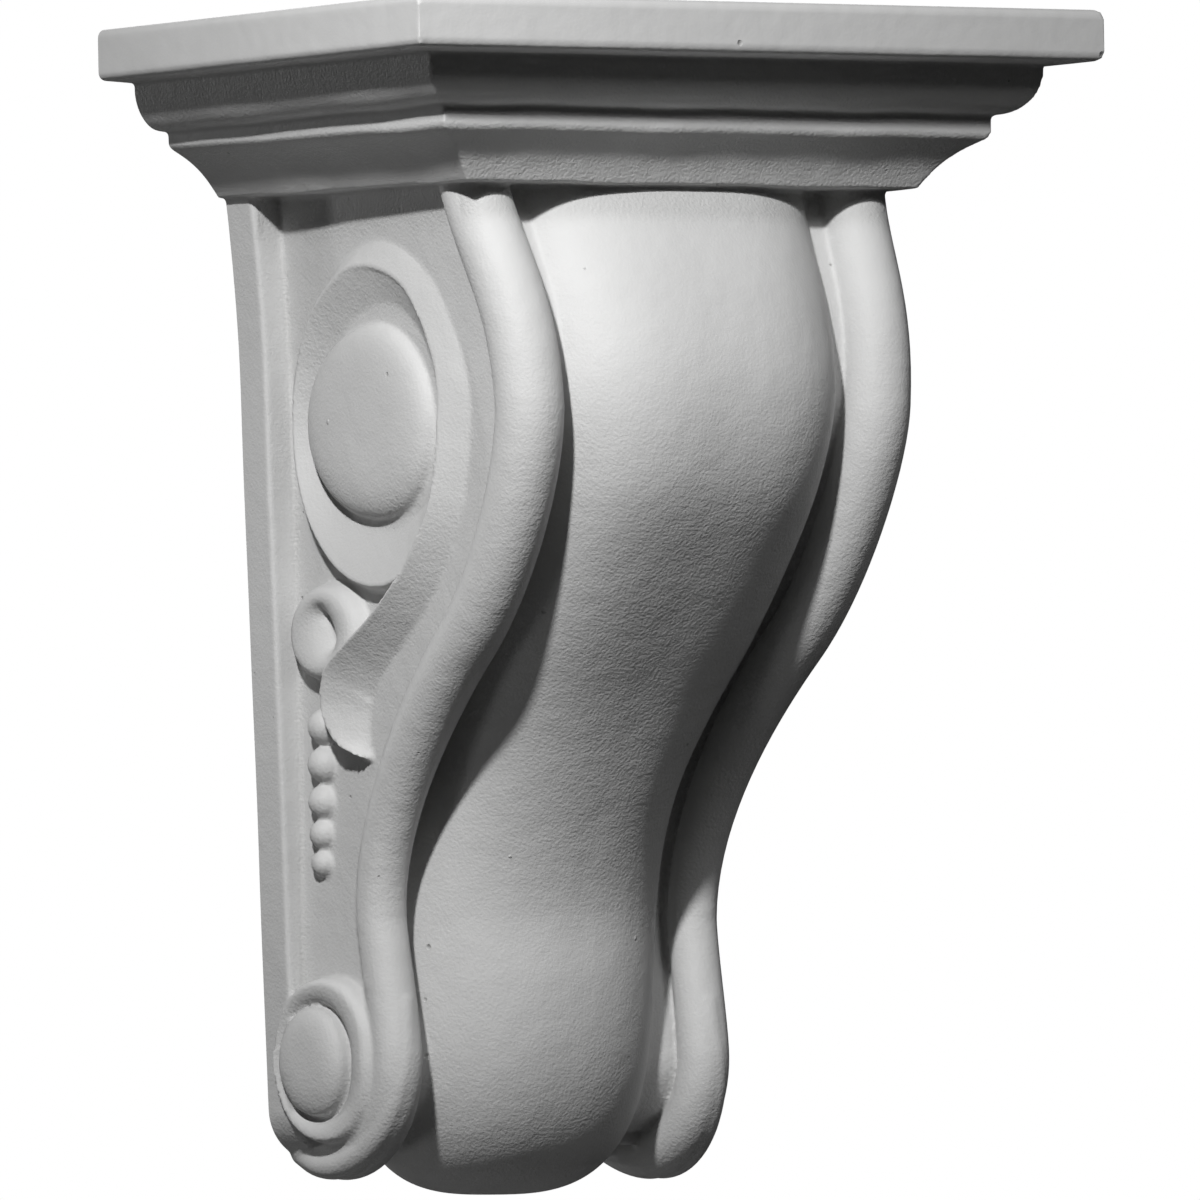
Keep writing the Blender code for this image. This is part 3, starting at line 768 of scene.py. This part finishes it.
corbel = one_skin()
settle(corbel)
places = np.empty(len(corbel.data.vertices) * 3)
corbel.data.vertices.foreach_get("co", places)
places = waver(places.reshape(-1, 3))
low, high = np.array(cad_box)
high_past_wall = np.array([high[0], 1.0, high[2]])
corbel.data.vertices.foreach_set("co", np.clip(places, low, high_past_wall).ravel())
cut_flat(corbel.data)
thin = corbel.modifiers.new("thin", "DECIMATE")
thin.ratio = min(1.0, most_triangles / (2 * len(corbel.data.polygons)))
settle(corbel)
corbel.data.shade_smooth()
mark_arrises(corbel.data)
even = corbel.modifiers.new("even", "WEIGHTED_NORMAL")
even.mode = "FACE_AREA"
even.weight = 50
even.keep_sharp = True
settle(corbel)
corbel.data.materials.clear()
corbel.data.materials.append(primer)


# Primer
# The foam leaves the mould under a thin matt white primer with a fine orange peel, a few
# pinholes where bubbles opened, and a drier, rougher coat in the creases. The creases and the
# places under the cap and slab are darkened with painted shade.
def math_node(group, operation, first, second=None, third=None):
    """A Math node whose inputs are numbers or other nodes' outputs."""
    node = group.nodes.new("ShaderNodeMath")
    node.operation = operation
    for socket, value in zip(node.inputs, (first, second, third)):
        if isinstance(value, (int, float)):
            socket.default_value = value
        elif value is not None:
            group.links.new(value, socket)
    return node.outputs[0]


def new_group(name, inputs, outputs):
    group = bpy.data.node_groups.new(name, "ShaderNodeTree")
    for label, value in inputs:
        socket = group.interface.new_socket(label, in_out="INPUT", socket_type="NodeSocketFloat")
        socket.default_value = value
    for label in outputs:
        group.interface.new_socket(label, in_out="OUTPUT", socket_type="NodeSocketFloat")
    return group, group.nodes.new("NodeGroupInput"), group.nodes.new("NodeGroupOutput")


def orange_peel_group():
    """Heights of sprayed primer: a fine peel over a broader unevenness."""
    group, start, end = new_group(
        "orange_peel", (("Grain Size", 0.0013), ("Grain", 1.0), ("Unevenness", 0.5)), ("Height",)
    )
    space = group.nodes.new("ShaderNodeTexCoord")
    grain = group.nodes.new("ShaderNodeTexNoise")
    grain.inputs["Detail"].default_value = 2.0
    group.links.new(math_node(group, "DIVIDE", 1.0, start.outputs["Grain Size"]), grain.inputs["Scale"])
    broad = group.nodes.new("ShaderNodeTexNoise")
    broad.inputs["Scale"].default_value = 130.0
    broad.inputs["Detail"].default_value = 1.0
    group.links.new(space.outputs["Object"], grain.inputs["Vector"])
    group.links.new(space.outputs["Object"], broad.inputs["Vector"])
    fine_part = math_node(group, "MULTIPLY", grain.outputs["Fac"], start.outputs["Grain"])
    height = math_node(group, "MULTIPLY_ADD", broad.outputs["Fac"], start.outputs["Unevenness"], fine_part)
    group.links.new(height, end.inputs["Height"])
    return group


def specks_group():
    """Scattered round marks: 1 in a mark, 0 outside it."""
    group, start, end = new_group(
        "specks", (("Spacing", 0.012), ("Mark Size", 0.0006), ("Share", 0.5), ("Shift", 0.0)), ("Mark",)
    )
    space = group.nodes.new("ShaderNodeTexCoord")
    moved = group.nodes.new("ShaderNodeVectorMath")
    moved.operation = "ADD"
    group.links.new(space.outputs["Object"], moved.inputs[0])
    group.links.new(start.outputs["Shift"], moved.inputs[1])
    cells = group.nodes.new("ShaderNodeTexVoronoi")
    group.links.new(moved.outputs["Vector"], cells.inputs["Vector"])
    per_metre = math_node(group, "DIVIDE", 1.0, start.outputs["Spacing"])
    group.links.new(per_metre, cells.inputs["Scale"])
    colour = group.nodes.new("ShaderNodeSeparateColor")
    group.links.new(cells.outputs["Color"], colour.inputs["Color"])
    reach = math_node(group, "MULTIPLY", start.outputs["Mark Size"], per_metre)
    sized = math_node(group, "MULTIPLY", reach, math_node(group, "ADD", colour.outputs["Green"], 0.4))
    near = math_node(group, "SUBTRACT", 1.0, math_node(group, "DIVIDE", cells.outputs["Distance"], sized))
    chosen = math_node(group, "LESS_THAN", colour.outputs["Red"], start.outputs["Share"])
    mark = math_node(group, "MULTIPLY", math_node(group, "MAXIMUM", near, 0.0), chosen)
    group.links.new(math_node(group, "SQRT", mark), end.inputs["Mark"])
    return group


def dress_primer(material, peel, specks):
    """Matt primer: orange peel, pinholes and nibs, rougher in the creases, with painted shade darkening
    the creases and the places under the cap and slab.
    """
    material.use_nodes = True
    tree = material.node_tree
    nodes, links = tree.nodes, tree.links
    shader = nodes["Principled BSDF"]
    shader.inputs["Roughness"].default_value = 0.6
    shader.inputs["Specular IOR Level"].default_value = 0.3
    # The hollow attribute marks the creases and the places under the cap and slab: it coarsens the coat
    # there and sets where shade is painted.
    shade_mask_node = nodes.new("ShaderNodeAttribute")
    shade_mask_node.attribute_name = "hollow"
    hollow = shade_mask_node.outputs["Fac"]
    coat = nodes.new("ShaderNodeGroup")
    coat.node_tree = peel
    coat.inputs["Grain Size"].default_value = 0.001
    coat.inputs["Unevenness"].default_value = 1.4
    coarse = nodes.new("ShaderNodeAttribute")
    coarse.attribute_name = "coarse_coat"
    links.new(math_node(tree, "MULTIPLY_ADD", hollow, 1.2, coarse.outputs["Fac"]), coat.inputs["Grain"])
    pits = nodes.new("ShaderNodeGroup")
    pits.node_tree = specks
    pits.inputs["Spacing"].default_value = 0.011
    pits.inputs["Mark Size"].default_value = 0.0007
    pits.inputs["Share"].default_value = 0.35
    nibs = nodes.new("ShaderNodeGroup")
    nibs.node_tree = specks
    nibs.inputs["Spacing"].default_value = 0.017
    nibs.inputs["Mark Size"].default_value = 0.0006
    nibs.inputs["Share"].default_value = 0.4
    nibs.inputs["Shift"].default_value = 3.7
    surface = math_node(tree, "MULTIPLY_ADD", pits.outputs["Mark"], -2.6, coat.outputs["Height"])
    surface = math_node(tree, "MULTIPLY_ADD", nibs.outputs["Mark"], 1.8, surface)
    bump = nodes.new("ShaderNodeBump")
    bump.inputs["Strength"].default_value = 0.75
    bump.inputs["Distance"].default_value = 0.00028
    links.new(surface, bump.inputs["Height"])
    links.new(bump.outputs["Normal"], shader.inputs["Normal"])
    space = nodes.new("ShaderNodeTexCoord")
    cloud = nodes.new("ShaderNodeTexNoise")
    cloud.inputs["Scale"].default_value = 34.0
    cloud.inputs["Detail"].default_value = 4.0
    links.new(space.outputs["Object"], cloud.inputs["Vector"])
    tone = nodes.new("ShaderNodeMix")
    tone.data_type = "RGBA"
    tone.inputs["A"].default_value = (0.55, 0.55, 0.547, 1)
    tone.inputs["B"].default_value = (0.61, 0.61, 0.607, 1)
    links.new(cloud.outputs["Fac"], tone.inputs["Factor"])
    # Painted shade: the creases and the places under the cap and slab are mixed towards dark grey by the
    # hollow attribute, and the pinholes are drawn darker as well.
    pits_and_painted_shade = nodes.new("ShaderNodeMix")
    pits_and_painted_shade.data_type = "RGBA"
    pits_and_painted_shade.inputs["B"].default_value = (0.30, 0.30, 0.295, 1)
    painted_crease_shade = math_node(tree, "MULTIPLY", hollow, 0.38)
    in_pits = math_node(tree, "MULTIPLY", pits.outputs["Mark"], 0.7)
    links.new(math_node(tree, "MAXIMUM", painted_crease_shade, in_pits), pits_and_painted_shade.inputs["Factor"])
    links.new(tone.outputs["Result"], pits_and_painted_shade.inputs["A"])
    links.new(pits_and_painted_shade.outputs["Result"], shader.inputs["Base Color"])


def mark_shade_and_coarse_coat(mesh, passes, full):
    """Stores how deep each point lies in a crease or in the places under the cap and slab, where the
    primer is coarsened and shade is painted, and how coarse the coat is there.
    """
    count = len(mesh.vertices)
    places, normals = np.empty(count * 3), np.empty(count * 3)
    mesh.vertices.foreach_get("co", places)
    mesh.vertices.foreach_get("normal", normals)
    places, normals = places.reshape(-1, 3), normals.reshape(-1, 3)
    edges = np.empty(len(mesh.edges) * 2, np.int32)
    mesh.edges.foreach_get("vertices", edges)
    ends = np.concatenate([edges.reshape(-1, 2), edges.reshape(-1, 2)[:, ::-1]])
    valence = np.maximum(np.bincount(ends[:, 0], minlength=count), 1)
    soft = places.copy()
    for _ in range(passes):
        soft = np.stack([np.bincount(ends[:, 0], soft[ends[:, 1], c], count) for c in range(3)], axis=1)
        soft /= valence[:, None]
    depth = ((soft - places) * normals).sum(axis=1) / full
    for _ in range(2):
        depth = (depth + np.bincount(ends[:, 0], depth[ends[:, 1]], count) / valence) / 2
    drop = top_height - places[:, 2] * 1000
    # The panel tops just under the cap and the left-facing faces just under the slab are added to the
    # crease depth, so painted shade falls on them too.
    under_cap = smooth_step((drop - 51) / 3) * (1 - smooth_step((drop - 60) / 8))
    under_cap *= np.abs(places[:, 0]) < 0.078
    painted_shade_under_slab = smooth_step((drop - 15.5) / 0.8) * (1 - smooth_step((drop - 17) / 14))
    painted_shade_under_slab *= normals[:, 0] < -0.3
    depth = np.maximum(depth, np.maximum(0.7 * under_cap, 0.85 * painted_shade_under_slab))
    mesh.attributes.new("hollow", "FLOAT", "POINT").data.foreach_set("value", smooth_step(depth))
    facing_down = smooth_step(0.45 - normals[:, 2] * 0.8)
    coarse = (0.35 + 0.95 * facing_down) * (0.3 + 0.7 * smooth_step((drop - 14) / 6))
    mesh.attributes.new("coarse_coat", "FLOAT", "POINT").data.foreach_set("value", coarse)


mark_shade_and_coarse_coat(corbel.data, 8, 0.0011)
dress_primer(primer, orange_peel_group(), specks_group())
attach(corbel, "root")
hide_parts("corbel")


# Floor
# A pale round floor lies well below the corbel, out of the photograph's frame.
floor_radius = 0.6
floor_level = -0.9
floor_mesh = bpy.data.meshes.new("floor")
rim_points = []
for turn in np.linspace(0, 2 * math.pi, 96, endpoint=False):
    rim_points.append((floor_radius * math.cos(turn), floor_radius * math.sin(turn) - 0.08, floor_level))
floor_mesh.from_pydata(rim_points, [], [tuple(range(96))])
floor = bpy.data.objects.new("floor", floor_mesh)
bpy.context.scene.collection.objects.link(floor)
pale = bpy.data.materials.new("pale_floor")
pale.use_nodes = True
pale_shader = pale.node_tree.nodes["Principled BSDF"]
pale_shader.inputs["Base Color"].default_value = (0.8, 0.8, 0.8, 1)
pale_shader.inputs["Roughness"].default_value = 0.9
floor.data.materials.append(pale)


# Light and camera
# One softbox high on the left in front does nearly all the lighting, with a white studio round
# it. The camera stands far off, a little below the corbel, as in the photograph.
world = bpy.data.worlds.new("studio")
bpy.context.scene.world = world
world.use_nodes = True
sky = world.node_tree
room = sky.nodes["Background"]
room.inputs["Color"].default_value = (1, 1, 1, 1)
room.inputs["Strength"].default_value = 0.015
seen = sky.nodes.new("ShaderNodeBackground")
seen.inputs["Strength"].default_value = 1.0
seen.inputs["Color"].default_value = (1, 1, 1, 1)
path = sky.nodes.new("ShaderNodeLightPath")
choose = sky.nodes.new("ShaderNodeMixShader")
sky.links.new(path.outputs["Is Camera Ray"], choose.inputs["Fac"])
sky.links.new(room.outputs["Background"], choose.inputs[1])
sky.links.new(seen.outputs["Background"], choose.inputs[2])
sky.links.new(choose.outputs["Shader"], sky.nodes["World Output"].inputs["Surface"])


def softbox(name, azimuth, elevation, distance, size, power):
    lamp = bpy.data.lights.new(name, "AREA")
    lamp.shape = "DISK"
    lamp.size = size
    lamp.energy = power
    lamp.spread = math.radians(60)
    holder = bpy.data.objects.new(name, lamp)
    a, e = math.radians(azimuth), math.radians(elevation)
    away = Vector((math.sin(a) * math.cos(e), -math.cos(a) * math.cos(e), math.sin(e)))
    holder.location = Vector((0, -0.07, 0)) + away * distance
    holder.rotation_mode = "QUATERNION"
    holder.rotation_quaternion = away.to_track_quat("Z", "Y")
    bpy.context.scene.collection.objects.link(holder)


softbox("key", -47, 32.4, 1.4, 0.08, 2.03)
softbox("front_fill", 10, 38, 2.0, 0.5, 0.68)
softbox("rim_left", -163, 3, 2.0, 0.12, 0.42)
softbox("low_left", -95, -32, 2.5, 0.6, 0.3)
softbox("back_fill", 150, 25, 2.5, 0.8, 1.6)

turn, tilt, roll_angle = math.radians(34), math.radians(2.4), math.radians(1.07)
right_way = Vector((math.cos(turn), -math.sin(turn), 0))
back_way = Vector((-math.sin(turn) * math.cos(tilt), -math.cos(turn) * math.cos(tilt), -math.sin(tilt)))
up_way = back_way.cross(right_way)
frame_right = right_way * math.cos(roll_angle) - up_way * math.sin(roll_angle)
frame_up = right_way * math.sin(roll_angle) + up_way * math.cos(roll_angle)
view_width = 0.365441
image_pixels = 1200
near_corner = Vector(at(-cap_half_width, cap_reach, 0))
corner_pixel = (421, 3)
pixel = view_width / image_pixels
middle = near_corner + frame_right * (image_pixels / 2 - corner_pixel[0]) * pixel
middle -= frame_up * (image_pixels / 2 - corner_pixel[1]) * pixel
middle -= back_way * (middle - Vector((0, -0.08, 0))).dot(back_way)
camera_distance = 9.0
lens_data = bpy.data.cameras.new("camera")
lens_data.sensor_width = 36
lens_data.lens = 36 * camera_distance / view_width
lens_data.clip_start = 0.5
lens_data.clip_end = 60
camera = bpy.data.objects.new("camera", lens_data)
camera.rotation_mode = "QUATERNION"
camera.location = middle + back_way * camera_distance
axes = np.array([frame_right, frame_up, back_way]).T
camera.rotation_quaternion = Matrix(axes.tolist()).to_quaternion()
bpy.context.scene.collection.objects.link(camera)
bpy.context.scene.camera = camera
bpy.context.scene.view_settings.view_transform = "Standard"
